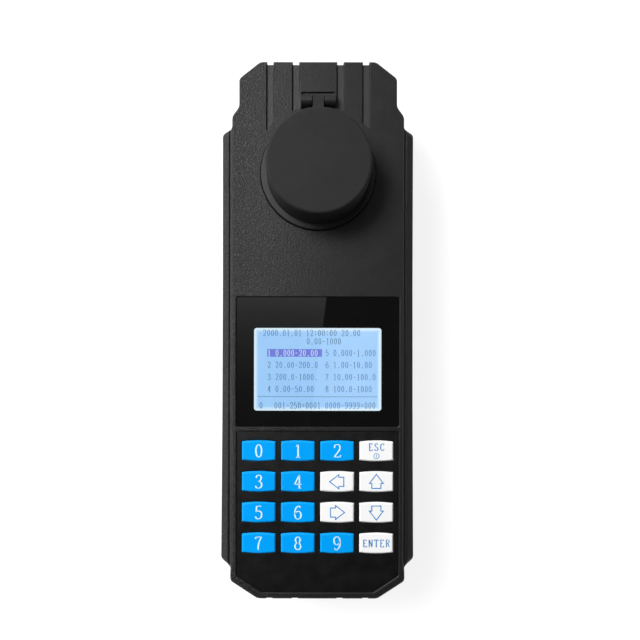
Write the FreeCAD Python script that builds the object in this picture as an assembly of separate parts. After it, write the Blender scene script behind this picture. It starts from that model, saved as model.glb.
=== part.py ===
import FreeCAD, Part
import math
import os

os.makedirs("parts", exist_ok=True)

# Portable turbidity meter, lying on its back.
# Millimetres. +Z is up through the face, +Y runs to the head with the cell cap, +X is right.
# The origin is on the table under the middle of the body.

# Overall size and walls
body_length = 236.0
deck_z = 47.5
foot_stand = 1.5
wall = 2.4
draft = math.radians(1.2)
fit = 0.2
through = 1.0

# Battery space: four cells side by side set the width of the body
aa_r = 7.25
aa_length = 50.5
aa_between = 0.3
nub_r = 2.75
nub_height = 1.0
bay_gap = 0.45
bay_wall = 1.8
bay_foot_in = 19.5
contact_plate = 0.5
contact_half = 4.5
spring_depth = 3.5
spring_sheet = 0.35
spring_tail = 1.6
spring_nose = 0.8
spring_taper = 0.7
door_lap = 0.7
door_head_lap = 1.5
door_lip = 1.35
door_gap = 0.3
door_flange = 1.2
door_flange_thick = 1.2
door_channel_wall = 2.0
door_grips = 4
door_grip_in = 8.0
door_grip_pitch = 3.0
door_grip_width = 1.4
door_grip_half = 12.0
door_grip_taper = 1.2
door_grip_depth = 0.8

# Case screws, their columns and the rubber feet
screw_head_r = 2.75
screw_head_h = 2.0
screw_head_clear = 0.4
screw_r = 1.3
screw_length = 29.0
screw_well_z = 7.5
column_r = 3.4
column_wall = 1.05
column_side = 1.55
pilot_gap = 0.05
pilot_deep = 1.0
head_column_in = 5.2
head_column_y = 32.0
waist_column_y = 5.4
foot_column_y = 40.0
foot_pad_r = 3.2
foot_pad_sink = 0.8
foot_pad_edge = 0.4
foot_pad_gap = 0.05
foot_pad_side = 0.2
foot_pad_y = 24.5
head_pad_in = 10.2
head_pad_y = 15.0

# Plan of the body: steps between its widths, and distances back from each end
rail_beyond_column = 5.3
rail_proud_waist = 4.3
rail_proud_head = 4.6
rail_proud_foot = 5.0
head_step = 3.1
head_corner_x = 9.3
head_corner_y = 7.3
cove_start = 19.8
cove_end = 24.0
rail_head_in = 27.9
rail_head = 30.9
rail_foot = 16.6
rail_foot_in = 12.4
foot_step = 0.5
foot_corner_x = 12.0
foot_corner_y = 7.8
corner_cut = 1.3
waist_cut = 84.0

# Levels of the two shells
seam_z = 27.0
seam_gap = 0.8
rail_outer_z = 43.2
rail_ridge_z = 45.2
rail_slope = 2.7
deck_edge = 0.6
deck_wall_lean = 0.8
deck_wall_sink = 1.0
gutter_width = 1.1
gutter_depth = 0.9
back_round = 3.4
rear_wall_extra = 0.6
gasket_inset = 0.5
gasket_width = 1.5

# Cell well, collar and cap
well_back = 49.0
well_r = 12.75
well_floor = 1.0
holder_wall = 3.0
holder_rise = 1.9
holder_chamfer = 0.8
holder_flange_rise = 4.0
holder_flange_thick = 2.4
holder_ear_out = 7.0
holder_ear_wall = 0.4
holder_boss_r = 3.0
holder_screw_r = 1.2
holder_screw_head_r = 2.2
holder_screw_head_h = 1.4
holder_screw_length = 5.5
holder_hole_gap = 0.3
collar_rise = 1.5
collar_edge = 0.4
collar_step = 2.2
collar_spigot = 3.0
cap_inset = 2.6
cap_taper = 0.7
cap_height = 18.6
cap_gap = 0.2
cap_wall = 1.9
cap_draft_wall = 0.2
cap_round = 1.1
liner_thick = 0.8
liner_gap = 0.3
seal_width = 2.2
seal_height = 1.6
seal_gap = 0.3
seal_shoulder = 0.6
seal_to_cap = 2.15

# Hinge of the cap
hinge_out = 9.0
hinge_rise = 0.5
knuckle_r = 2.6
knuckle_half = 2.4
knuckle_gap = 0.35
ear_width = 4.65
ear_land = 1.3
pin_r = 1.0
pin_run = 0.05
pin_press = 0.02
pin_end = 0.5
pin_end_gap = 0.1
slot_front = 6.0
slot_gap = 0.5
ear_pocket_front = 3.9
ear_pocket_back = 4.2
arm_root = 1.2
arm_height = 3.4
arm_length = 2.0
arm_rise = 1.0

# Four grooves down the head, and their short ends at the foot
groove_edge_in = 4.3
groove_pitch = 11.3
groove_width = 3.5
groove_floor = 2.7
groove_depth = 1.1
groove_clear = 4.4
foot_groove_depth = 0.5

# Display
bar_width = 2.0
window_length = 57.0
window_side = 2.0
window_thick = 1.2
window_sink = 0.3
window_gap = 0.15
window_corner = 0.9
recess_edge = 0.35
lcd_length = 36.5
lcd_side = 7.7
lcd_foot_in = 6.9
lcd_corner = 1.2
bezel_margin_x = 5.0
bezel_margin_y = 5.2
bezel_height = 5.6
bezel_lip = 0.5
bezel_wall = 0.6
glass_thick = 1.8
lcd_board_thick = 1.4
lcd_board_margin = 1.0
spacer_r = 2.0
spacer_in = 0.3

# Keypad
pad_foot_in = 2.8
pad_length = 70.8
pad_side = 2.2
pad_corner_y = 7.4
pad_corner_x = 11.1
pad_sink = 0.4
pad_thick = 1.6
pad_gap = 0.15
pad_corner = 0.5
ledge_side = 1.4
ledge_thick = 1.8
key_rows = 4
key_columns = 4
key_field_side = 1.2
key_between_x = 2.4
key_pitch_y = 13.5
key_first_down = 8.5
key_side_half = 4.05
key_bulge = 0.5
key_rise = 0.75
key_bevel = 0.5
key_gap = 0.25
key_flange = 0.5
key_flange_thick = 1.0
key_float = 0.1
key_stem_r = 2.0
key_travel = 0.6
shelf_below_keys = 7.6

# Main board, its screws and switches
board_top_z = 35.0
board_thick = 1.6
board_side_gap = 0.2
board_well_gap = 16.25
board_foot_in = 9.0
board_corner = 7.0
board_post_r = 3.0
board_head_post_x = 3.7
board_post_gap = 1.0
board_foot_post_x = 6.2
board_foot_post_y = 5.5
board_screw_r = 1.1
board_screw_head_r = 2.0
board_screw_head_h = 1.4
board_screw_length = 7.0
board_hole_gap = 0.4
switch_side = 6.0
switch_body = 3.5
switch_plunger_r = 1.75
switch_plunger_rise = 0.8

# Components under the main board: X, and the distance down from its head edge
chip_places = [(-8.0, 49.0), (14.0, 45.0), (14.0, 25.0)]
chip_halves = [5.0, 3.0, 3.0]
chip_height = 1.6
chip_stand = 0.2
lead_pitch = 1.1
lead_half = 0.2
lead_out = 1.0
lead_thick = 0.5
capacitor_places = [(-20.0, 33.0), (-20.0, 45.0), (24.0, 35.0)]
capacitor_r = 2.5
capacitor_height = 5.5
socket_places = [(-18.0, 8.0), (0.0, 5.0), (18.0, 8.0), (0.0, 73.0)]
socket_half_x = 4.0
socket_half_y = 2.5
socket_height = 5.0
socket_wall = 0.8
socket_floor = 1.0
buzzer_place = (-20.0, 19.0)
buzzer_r = 6.0
buzzer_height = 5.0
buzzer_port_r = 1.0
buzzer_port_deep = 1.0

# Optics round the well
optic_z = 22.0
optic_reach = 24.0
optic_boss_r = 5.5
diode_r = 2.5
diode_length = 8.6
diode_gap = 0.1
beam_r = 1.5
sensor_board = 13.0
sensor_board_thick = 1.6
lead_r = 0.3
lead_hole_gap = 0.05
lead_half_pitch = 1.27
lead_past_board = 1.0

# Widths worked out from the battery space
aa_pitch = 2.0 * aa_r + aa_between
bay_half = 1.5 * aa_pitch + aa_r + bay_gap
door_half = bay_half + door_lap
flange_half = door_half + door_flange
screw_well_r = screw_head_r + screw_head_clear
column_x = flange_half + door_gap + screw_well_r + column_side
rail_half_waist = column_x + rail_beyond_column
deck_half = rail_half_waist - rail_proud_waist
rail_half_head = deck_half + rail_proud_head
rail_half_foot = deck_half + rail_proud_foot
head_half = deck_half - head_step
head_flat = head_half - head_corner_x
foot_half = deck_half + foot_step
foot_flat = foot_half - foot_corner_x
window_half = deck_half - window_side
lcd_half = window_half - lcd_side
pad_half = deck_half - pad_side
key_pitch_x = 2.0 * (pad_half - key_field_side) / key_columns
key_half_x = (key_pitch_x - key_between_x) / 2.0
board_half = column_x - column_r - board_side_gap

# Places along the body, from its two ends
head_y = body_length / 2.0
foot_y = -body_length / 2.0
well_y = head_y - well_back
pad_foot = foot_y + pad_foot_in
pad_head = pad_foot + pad_length
window_foot = pad_head + bar_width
window_top = window_foot + window_length
lcd_foot = window_foot + lcd_foot_in
lcd_top = lcd_foot + lcd_length
lcd_board_head = lcd_top + bezel_margin_y + lcd_board_margin
bay_foot = foot_y + bay_foot_in
bay_length = contact_plate + aa_length + spring_depth
bay_head = bay_foot + bay_length
door_head = bay_head + door_head_lap
key_xs = [(i - (key_columns - 1) / 2.0) * key_pitch_x for i in range(key_columns)]
key_ys = [pad_head - key_first_down - i * key_pitch_y for i in range(key_rows)]
shelf_y = key_ys[-1] - shelf_below_keys

# Levels
back_z = foot_stand
floor_z = back_z + wall
shell_foot_z = seam_z + seam_gap / 2.0
rear_top_z = seam_z - seam_gap / 2.0
deck_inner_z = deck_z - wall
window_bed_z = deck_z - window_sink - window_thick
bezel_top_z = window_bed_z - fit
lcd_board_top = bezel_top_z - bezel_height
pad_top_z = deck_z - pad_sink
pad_bed_z = pad_top_z - pad_thick
board_foot_z = board_top_z - board_thick
switch_top_z = board_top_z + switch_body + switch_plunger_rise
cell_z = floor_z + door_gap + aa_r + bay_gap
bay_ceiling = cell_z + aa_r + bay_gap
lip_top_z = back_z + door_lip
flange_z = lip_top_z + door_gap / 2.0
flange_top_z = flange_z + door_flange_thick
bay_sill_z = flange_top_z + door_gap

# Well, collar, cap and hinge
holder_r = well_r + holder_wall
holder_ear_reach = holder_r + holder_ear_out
holder_flange_z = floor_z + holder_flange_rise
well_floor_z = floor_z + well_floor
collar_top_z = deck_z + collar_rise
cap_base_r = holder_r + seal_gap + seal_width + seal_to_cap + cap_wall + cap_draft_wall
cap_top_r = cap_base_r - cap_taper
collar_r = cap_base_r + cap_inset
collar_spigot_r = collar_r - collar_step
cap_foot_z = collar_top_z + cap_gap
hinge_y = well_y + cap_base_r + hinge_out
hinge_z = deck_z + hinge_rise
slot_half = knuckle_half + knuckle_gap
pocket_half = slot_half + ear_width
slot_floor = hinge_z - knuckle_r - slot_gap
slot_back = knuckle_r + slot_gap
board_head = well_y - holder_r - board_well_gap
board_foot = foot_y + board_foot_in

# Fixing places, given for the right half and mirrored
column_half_places = [
    (head_half - head_column_in, head_y - head_column_y),
    (column_x, window_top + waist_column_y),
    (column_x, foot_y + foot_column_y),
]
foot_pad_half_places = [
    (head_half - head_pad_in, head_y - head_pad_y),
    (door_half + door_gap + foot_pad_r + foot_pad_side, foot_y + foot_pad_y),
]
board_post_half_places = [
    (board_half - board_head_post_x, lcd_board_head + board_post_gap + board_post_r),
    (board_half - board_foot_post_x, board_foot + board_foot_post_y),
]
column_places = [(sx * x, y) for x, y in column_half_places for sx in (-1, 1)]
foot_pad_places = [(sx * x, y) for x, y in foot_pad_half_places for sx in (-1, 1)]
board_post_places = [(sx * x, y) for x, y in board_post_half_places for sx in (-1, 1)]
ear_offset = holder_ear_reach * math.sqrt(0.5)
holder_places = [(sx * ear_offset, well_y + sy * ear_offset) for sx in (-1, 1) for sy in (-1, 1)]

groove_outer_x = head_flat - groove_edge_in
groove_xs = [sx * x for x in (groove_outer_x, groove_outer_x - groove_pitch) for sx in (-1, 1)]

# The lamp, the detector straight across and the detector at the side, by their turn round the well
optics = [
    ("infrared_led", "led_board", 180.0),
    ("through_detector", "through_detector_board", 0.0),
    ("side_detector", "side_detector_board", -90.0),
]
key_names = [
    ["key_0", "key_1", "key_2", "key_esc"],
    ["key_3", "key_4", "key_left", "key_up"],
    ["key_5", "key_6", "key_right", "key_down"],
    ["key_7", "key_8", "key_9", "key_enter"],
]

parts = {}


# Shape helpers
def vec(x, y, z=0.0):
    return FreeCAD.Vector(x, y, z)


def box(x0, x1, y0, y1, z0, z1):
    return Part.makeBox(x1 - x0, y1 - y0, z1 - z0, vec(x0, y0, z0))


def post(r, x, y, z0, z1):
    return Part.makeCylinder(r, z1 - z0, vec(x, y, z0))


def rod(r, start, direction, length):
    return Part.makeCylinder(r, length, start, direction)


def rod_x(r, half, y, z):
    # Rod across the middle plane
    return rod(r, vec(-half, y, z), vec(1, 0, 0), 2.0 * half)


def unit(x, y):
    length = math.hypot(x, y)
    return x / length, y / length


def both_sides(points):
    # A right-hand half outline and its mirror, as one closed list
    return points + [(-x, y) for x, y in reversed(points)]


def rectangle(x0, x1, y0, y1):
    return [(x1, y1), (x1, y0), (x0, y0), (x0, y1)]


def moved_edges(points, out):
    # The closed outline with every edge moved outward by the same distance
    count = len(points)
    result = []
    for i in range(count):
        ax, ay = points[i - 1]
        bx, by = points[i]
        cx, cy = points[(i + 1) % count]
        ux, uy = unit(bx - ax, by - ay)
        vx, vy = unit(cx - bx, cy - by)
        turn = ux * vx + uy * vy
        nx = -(uy + vy) / (1.0 + turn)
        ny = (ux + vx) / (1.0 + turn)
        result.append((bx + nx * out, by + ny * out))
    return result


def rounded_wire(points, cuts, z):
    # Closed outline whose corners are arcs that start and end a cut length from each corner
    count = len(points)
    spans = []
    for i in range(count):
        px, py = points[i]
        ux, uy = unit(points[i - 1][0] - px, points[i - 1][1] - py)
        vx, vy = unit(points[(i + 1) % count][0] - px, points[(i + 1) % count][1] - py)
        cut = cuts[i]
        if cut == 0.0:
            spans.append((vec(px, py, z), None, vec(px, py, z)))
            continue
        cos_half = math.hypot(ux + vx, uy + vy) / 2.0
        sin_half = math.sqrt(max(0.0, 1.0 - cos_half * cos_half))
        bx, by = unit(ux + vx, uy + vy)
        depth = cut * cos_half / (1.0 + sin_half)
        start = vec(px + ux * cut, py + uy * cut, z)
        middle = vec(px + bx * depth, py + by * depth, z)
        end = vec(px + vx * cut, py + vy * cut, z)
        spans.append((start, middle, end))
    edges = []
    for i in range(count):
        start, middle, end = spans[i]
        if cuts[i] > 0.0:
            edges.append(Part.Arc(start, middle, end).toShape())
        edges.append(Part.LineSegment(end, spans[(i + 1) % count][0]).toShape())
    return Part.Wire(edges)


def between(low, low_z, high, high_z, cuts):
    # Solid between two outlines at two levels
    wires = [rounded_wire(low, cuts, low_z), rounded_wire(high, cuts, high_z)]
    return Part.makeLoft(wires, True, True)


def plate(points, z0, z1, cut=0.0):
    # Solid of one outline between two levels
    face = Part.Face(rounded_wire(points, [cut] * len(points), z0))
    return face.extrude(vec(0, 0, z1 - z0))


def recess(points, floor, cut):
    # Straight-sided recess in the deck, with a small chamfer round its mouth
    mouth = between(points, deck_z - recess_edge, moved_edges(points, 2.0 * recess_edge),
                    deck_z + recess_edge, [cut] * len(points))
    return plate(points, floor, deck_z + through, cut).fuse(mouth)


def turned(profile, x, y):
    # Revolves a closed (radius, height) outline about a vertical axis
    points = [vec(x + r, y, z) for r, z in profile]
    wire = Part.makePolygon(points + [points[0]])
    return Part.Face(wire).revolve(vec(x, y, 0), vec(0, 0, 1), 360.0)


def swept_x(profile, x0, x1):
    # Extrudes a closed (y, z) outline along X
    points = [vec(x0, y, z) for y, z in profile]
    wire = Part.makePolygon(points + [points[0]])
    return Part.Face(wire).extrude(vec(x1 - x0, 0, 0))


def fused(shapes):
    result = shapes[0]
    if len(shapes) > 1:
        result = shapes[0].multiFuse(shapes[1:])
    return result.removeSplitter()


def group(shapes):
    return Part.makeCompound(shapes)


# Outlines of the body
def body_points(rail_in=0.0):
    # Outline at the rails' outer edge, or with the rails drawn in toward the deck
    waist_y = (head_y - rail_head + foot_y + rail_foot) / 2.0
    right = [
        (head_flat, head_y),
        (head_half, head_y - head_corner_y),
        (head_half, head_y - cove_start),
        (deck_half, head_y - cove_end),
        (deck_half, head_y - rail_head_in),
        (rail_half_head - rail_in, head_y - rail_head),
        (rail_half_waist - rail_in, waist_y),
        (rail_half_foot - rail_in, foot_y + rail_foot),
        (foot_half, foot_y + rail_foot_in),
        (foot_half, foot_y + foot_corner_y),
        (foot_flat, foot_y),
    ]
    return both_sides(right)


def deck_points(lean=0.0):
    # Outline of the raised deck, which may lean out toward the rails
    right = [
        (head_flat, head_y),
        (head_half, head_y - head_corner_y),
        (head_half, head_y - cove_start),
        (deck_half, head_y - cove_end),
        (deck_half, head_y - rail_head_in),
        (deck_half + lean, head_y - rail_head),
        (deck_half + lean, foot_y + rail_foot),
        (foot_half, foot_y + rail_foot_in),
        (foot_half, foot_y + foot_corner_y),
        (foot_flat, foot_y),
    ]
    return both_sides(right)


# The waist of each rail is one long shallow arc, and every other corner is tight
body_half_cuts = [corner_cut] * 6 + [waist_cut] + [corner_cut] * 4
deck_half_cuts = [corner_cut] * 4 + [0.0] * 3 + [corner_cut] * 3
body_cuts = body_half_cuts + body_half_cuts[::-1]
deck_cuts = deck_half_cuts + deck_half_cuts[::-1]
body = body_points()
deck = deck_points()
skirt_grow = math.tan(draft) * (rail_outer_z - shell_foot_z)


def window_outline(margin):
    return rectangle(-window_half - margin, window_half + margin, window_foot - margin, window_top + margin)


def pad_outline(margin):
    points = [
        (pad_half, pad_head),
        (pad_half, pad_foot + pad_corner_y),
        (pad_half - pad_corner_x, pad_foot),
    ]
    return moved_edges(both_sides(points), margin)


def key_field():
    # One opening for all the keys; the panel rests on the ledge left around it
    half = pad_half - ledge_side
    return rectangle(-half, half, shelf_y, pad_head - ledge_side)


def bezel_box():
    x = lcd_half + bezel_margin_x
    return -x, x, lcd_foot - bezel_margin_y, lcd_top + bezel_margin_y


# Front shell: drafted side walls, sloping rails, raised deck
def outer_front():
    skirt = between(moved_edges(body, skirt_grow), shell_foot_z, body, rail_outer_z, body_cuts)
    slope = between(body, rail_outer_z, body_points(rail_slope), rail_ridge_z, body_cuts)
    riser_foot = rail_outer_z - deck_wall_sink
    rim = deck_z - deck_edge
    riser = between(deck_points(deck_wall_lean), riser_foot, deck, rim, deck_cuts)
    crown = between(deck, rim, moved_edges(deck, -deck_edge), deck_z, deck_cuts)
    solid = fused([skirt, slope, riser, crown])
    gutter_z = rail_ridge_z - gutter_depth
    gutter_in = deck_half + deck_wall_lean * (rim - gutter_z) / (rim - riser_foot)
    for sx in (-1, 1):
        x0, x1 = sorted((sx * gutter_in, sx * (gutter_in + gutter_width)))
        solid = solid.cut(box(x0, x1, foot_y + rail_foot_in, head_y - rail_head_in, gutter_z, deck_z))
    return solid


def inner_front():
    # Hollow of the front shell: wide behind the rails, narrow under the deck
    low = plate(moved_edges(body, -wall), shell_foot_z - through, rail_outer_z - wall)
    high = plate(moved_edges(deck, -wall), rail_outer_z - wall - through, deck_inner_z)
    return low.fuse(high)


def front_supports():
    # Ledge round the key field, block under the hinge, screw columns and board posts
    ledge_z = pad_bed_z - ledge_thick
    root_z = deck_z - wall / 2.0
    ledge = plate(pad_outline(wall), ledge_z, root_z)
    block_half = pocket_half + wall
    supports = [
        ledge.cut(plate(key_field(), ledge_z - through, deck_z)),
        box(-block_half, block_half, hinge_y - slot_front - wall, hinge_y + ear_pocket_back + wall,
            slot_floor - wall, root_z),
    ]
    supports += [post(column_r, x, y, seam_z, root_z) for x, y in column_places]
    supports += [post(board_post_r, x, y, board_top_z, root_z) for x, y in board_post_places]
    within = plate(moved_edges(body, -wall / 2.0), seam_z, rail_outer_z - wall / 2.0)
    within = within.fuse(plate(moved_edges(deck, -wall / 2.0), seam_z, root_z))
    return [support.common(within) for support in supports]


def groove_cuts(x):
    # Sloping-sided channel along the deck that turns down the head wall and stops short of the collar
    top = groove_width / 2.0
    low = groove_floor / 2.0
    section = [
        vec(x - top, well_y, deck_z + through),
        vec(x - top, well_y, deck_z),
        vec(x - low, well_y, deck_z - groove_depth),
        vec(x + low, well_y, deck_z - groove_depth),
        vec(x + top, well_y, deck_z),
        vec(x + top, well_y, deck_z + through),
    ]
    face = Part.Face(Part.makePolygon(section + [section[0]]))
    channel = face.extrude(vec(0, head_y - well_y + through, 0))
    stop = post(collar_r + groove_clear, 0, well_y, deck_z - 2.0 * groove_depth, deck_z + 2.0 * through)
    at_head = box(x - low, x + low, head_y - groove_depth, head_y + through, shell_foot_z - through, deck_z)
    at_foot = box(x - low, x + low, foot_y - through, foot_y + foot_groove_depth,
                  shell_foot_z - through, deck_z + through)
    return [channel.cut(stop), at_head, at_foot]


def hinge_cuts():
    # Deep slot for the cap's knuckle between two shallow pockets for the ears
    slot = box(-slot_half, slot_half, hinge_y - slot_front, hinge_y + slot_back, slot_floor, deck_z + through)
    pockets = box(-pocket_half, pocket_half, hinge_y - ear_pocket_front, hinge_y + ear_pocket_back,
                  deck_z - ear_land, deck_z + through)
    return [slot, pockets]


def hinge_ears():
    # A rounded ear on each side of the slot, drilled for the pin
    ears = []
    for sx in (-1, 1):
        x0, x1 = sorted((sx * slot_half, sx * (pocket_half + fit)))
        ear = rod(knuckle_r, vec(x0, hinge_y, hinge_z), vec(1, 0, 0), x1 - x0)
        root = box(x0, x1, hinge_y - knuckle_r, hinge_y + knuckle_r, slot_floor, hinge_z)
        ears.append(ear.fuse(root))
    return ears


def face_openings():
    x0, x1, y0, y1 = bezel_box()
    ledge_z = pad_bed_z - ledge_thick
    openings = [
        recess(window_outline(0.0), window_bed_z, window_corner + window_gap),
        recess(pad_outline(0.0), pad_bed_z, pad_corner + pad_gap),
        plate(key_field(), ledge_z - through, deck_z),
        plate(rectangle(x0 - fit, x1 + fit, y0 - fit, y1 + fit), lcd_board_top, window_bed_z + fit),
        post(collar_spigot_r + fit, 0, well_y, deck_inner_z - through, deck_z + through),
    ]
    for x, y in column_places:
        openings.append(post(screw_r + pilot_gap, x, y, seam_z - through,
                             screw_well_z + screw_length + pilot_deep))
    for x, y in board_post_places:
        openings.append(post(board_screw_r + pilot_gap, x, y, board_top_z - through,
                             board_foot_z + board_screw_length + pilot_deep))
    return openings


def make_front_shell():
    solid = outer_front().cut(inner_front())
    solid = fused([solid] + front_supports())
    openings = face_openings() + hinge_cuts()
    for x in groove_xs:
        openings += groove_cuts(x)
    solid = fused([solid.cut(group(openings))] + hinge_ears())
    return solid.cut(rod_x(pin_r + pin_press, pocket_half - pin_end + pin_end_gap, hinge_y, hinge_z))


# Rear shell: drafted walls, rounded back, battery bay, screw columns
def rear_block():
    inset = math.tan(draft) * (rear_top_z - back_z)
    wires = []
    for degrees in (0.0, 30.0, 60.0, 90.0):
        turn = math.radians(degrees)
        tuck = back_round * (1.0 - math.sin(turn))
        rise = back_round * (1.0 - math.cos(turn))
        line = moved_edges(body, skirt_grow - inset - tuck)
        wires.append(rounded_wire(line, body_cuts, back_z + rise))
    wires.append(rounded_wire(moved_edges(body, skirt_grow), body_cuts, rear_top_z))
    return Part.makeLoft(wires, True, True)


def rear_supports():
    # Battery box, the channel for the door, screw columns and the bosses of the cell holder
    outer = bay_half + bay_wall
    channel = flange_half + door_gap + door_channel_wall
    root_z = floor_z - wall / 4.0
    supports = [
        box(-outer, outer, bay_foot - bay_wall, bay_head + bay_wall, bay_sill_z, bay_ceiling + bay_wall),
        box(-channel, channel, foot_y, bay_head + bay_wall, root_z, bay_sill_z + door_channel_wall),
    ]
    supports += [post(screw_well_r + column_wall, x, y, back_z + through, seam_z) for x, y in column_places]
    supports += [post(holder_boss_r, x, y, root_z, holder_flange_z) for x, y in holder_places]
    within = plate(moved_edges(body, -wall / 2.0), back_z + wall / 4.0, seam_z)
    return [support.common(within) for support in supports]


def make_rear_shell(block):
    hollow = plate(moved_edges(body, -wall - rear_wall_extra), floor_z, rear_top_z + through)
    solid = fused([block.cut(hollow)] + rear_supports())
    door_clear = door_half + door_gap
    flange_clear = flange_half + door_gap
    past_foot = foot_y - 2.0 * wall
    openings = [
        box(-bay_half, bay_half, bay_foot, bay_head, floor_z - through, bay_ceiling),
        box(-door_clear, door_clear, past_foot, door_head + door_gap, back_z - through, floor_z),
        box(-flange_clear, flange_clear, past_foot, door_head + door_gap, lip_top_z, bay_sill_z),
    ]
    for x, y in column_places:
        openings.append(post(screw_well_r, x, y, back_z - through, screw_well_z))
        openings.append(post(screw_r + screw_head_clear, x, y, back_z, seam_z + through))
    for x, y in foot_pad_places:
        openings.append(post(foot_pad_r + foot_pad_gap, x, y, back_z - through, back_z + foot_pad_sink))
    for x, y in holder_places:
        openings.append(post(holder_screw_r + pilot_gap, x, y, floor_z, holder_flange_z + through))
    return solid.cut(group(openings))


# Battery door: the slice of the rear shell that it closes, with flanges that run behind the lips
def make_battery_door(block):
    past_foot = foot_y - 2.0 * wall
    panel = block.common(box(-door_half, door_half, past_foot, door_head, back_z - through, floor_z))
    flange = block.common(box(-flange_half, flange_half, past_foot, door_head, flange_z, flange_top_z))
    grips = []
    for i in range(door_grips):
        y = door_head - door_grip_in - i * door_grip_pitch
        half = door_grip_half - i * door_grip_taper
        grips.append(box(-half, half, y - door_grip_width / 2.0, y + door_grip_width / 2.0,
                         back_z - through, back_z + door_grip_depth))
    return fused([panel, flange]).cut(group(grips))


# Gasket in the seam between the two shells
def make_gasket():
    outer_line = moved_edges(body, skirt_grow - gasket_inset)
    inner_line = moved_edges(body, skirt_grow - gasket_inset - gasket_width)
    ring = plate(outer_line, rear_top_z, shell_foot_z)
    ring = ring.cut(plate(inner_line, rear_top_z - through, shell_foot_z + through))
    columns = [post(screw_well_r + column_wall + fit, x, y, rear_top_z - through, shell_foot_z + through)
               for x, y in column_places]
    return ring.cut(group(columns))


def make_feet():
    top = back_z + foot_pad_sink
    profile = [
        (0.0, 0.0),
        (foot_pad_r - foot_pad_edge, 0.0),
        (foot_pad_r, foot_pad_edge),
        (foot_pad_r, top),
        (0.0, top),
    ]
    return group([turned(profile, x, y) for x, y in foot_pad_places])


def screw(place, seat_z, side, head_r, head_h, shank_r, length):
    # Pan head with a cross recess, its shank running up (side 1) or down (side -1) from the seat
    x, y = place
    axis = vec(0, 0, side)
    shank = rod(shank_r, vec(x, y, seat_z), axis, length)
    head = rod(head_r, vec(x, y, seat_z - side * head_h), axis, head_h)
    slot = 0.35 * shank_r
    reach = 0.7 * head_r
    z0, z1 = sorted((seat_z - side * 1.5 * head_h, seat_z - side * 0.5 * head_h))
    cross = box(x - slot, x + slot, y - reach, y + reach, z0, z1)
    cross = cross.fuse(box(x - reach, x + reach, y - slot, y + slot, z0, z1))
    return fused([shank, head]).cut(cross)


def make_case_screws():
    return group([screw(place, screw_well_z, 1, screw_head_r, screw_head_h, screw_r, screw_length)
                  for place in column_places])


# Cell well: holder with its flange ears and the three optic bosses
def at_angle(shape, degrees):
    # Turns a shape built along +X from the well's axis to its own direction
    copy = shape.copy()
    copy.rotate(vec(0, well_y, 0), vec(0, 0, 1), degrees)
    return copy


def radial_rod(r, start, length):
    return rod(r, vec(start, well_y, optic_z), vec(1, 0, 0), length)


def make_cell_holder():
    top = collar_top_z + holder_rise
    profile = [
        (0.0, floor_z),
        (holder_r, floor_z),
        (holder_r, top - holder_chamfer),
        (holder_r - holder_chamfer, top),
        (well_r + holder_chamfer, top),
        (well_r, top - holder_chamfer),
        (well_r, well_floor_z),
        (0.0, well_floor_z),
    ]
    solids = [turned(profile, 0, well_y)]
    ear_r = holder_boss_r + holder_ear_wall
    flange_top = holder_flange_z + holder_flange_thick
    for x, y in holder_places:
        solids.append(post(ear_r, x, y, holder_flange_z, flange_top))
    for degrees in (45.0, 135.0):
        bar = box(-holder_ear_reach, holder_ear_reach, well_y - ear_r, well_y + ear_r, holder_flange_z, flange_top)
        solids.append(at_angle(bar, degrees))
    boss = radial_rod(optic_boss_r, well_r + holder_wall / 2.0, optic_reach - well_r - holder_wall / 2.0)
    seat = radial_rod(diode_r + diode_gap, optic_reach - diode_length - diode_gap, diode_length + through)
    beam = radial_rod(beam_r, well_r - through, optic_reach - well_r)
    cuts = [post(well_r, 0, well_y, well_floor_z, top - holder_chamfer)]
    for diode_name, board_name, degrees in optics:
        solids.append(at_angle(boss, degrees))
        cuts += [at_angle(seat, degrees), at_angle(beam, degrees)]
    for x, y in holder_places:
        cuts.append(post(holder_screw_r + holder_hole_gap, x, y, holder_flange_z - through, flange_top + through))
    return fused(solids).cut(group(cuts))


def make_holder_screws():
    top = holder_flange_z + holder_flange_thick
    return group([screw(place, top, -1, holder_screw_head_r, holder_screw_head_h, holder_screw_r,
                        holder_screw_length) for place in holder_places])


def make_collar():
    inner = holder_r + fit
    foot = deck_z - collar_spigot
    profile = [
        (inner, foot),
        (collar_spigot_r, foot),
        (collar_spigot_r, deck_z),
        (collar_r, deck_z),
        (collar_r, collar_top_z - collar_edge),
        (collar_r - collar_edge, collar_top_z),
        (inner, collar_top_z),
    ]
    return turned(profile, 0, well_y)


def make_seal_ring():
    inner = holder_r + seal_gap
    outer = inner + seal_width
    profile = [
        (inner, collar_top_z),
        (outer, collar_top_z),
        (outer, collar_top_z + seal_height - seal_shoulder),
        (outer - seal_shoulder, collar_top_z + seal_height),
        (inner, collar_top_z + seal_height),
    ]
    return turned(profile, 0, well_y)


# Cap: drafted hollow cup with a rounded crown, an arm and a hinge knuckle
def cap_radius(z):
    rise = (z - cap_foot_z) / cap_height
    return cap_base_r + (cap_top_r - cap_base_r) * rise


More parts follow.
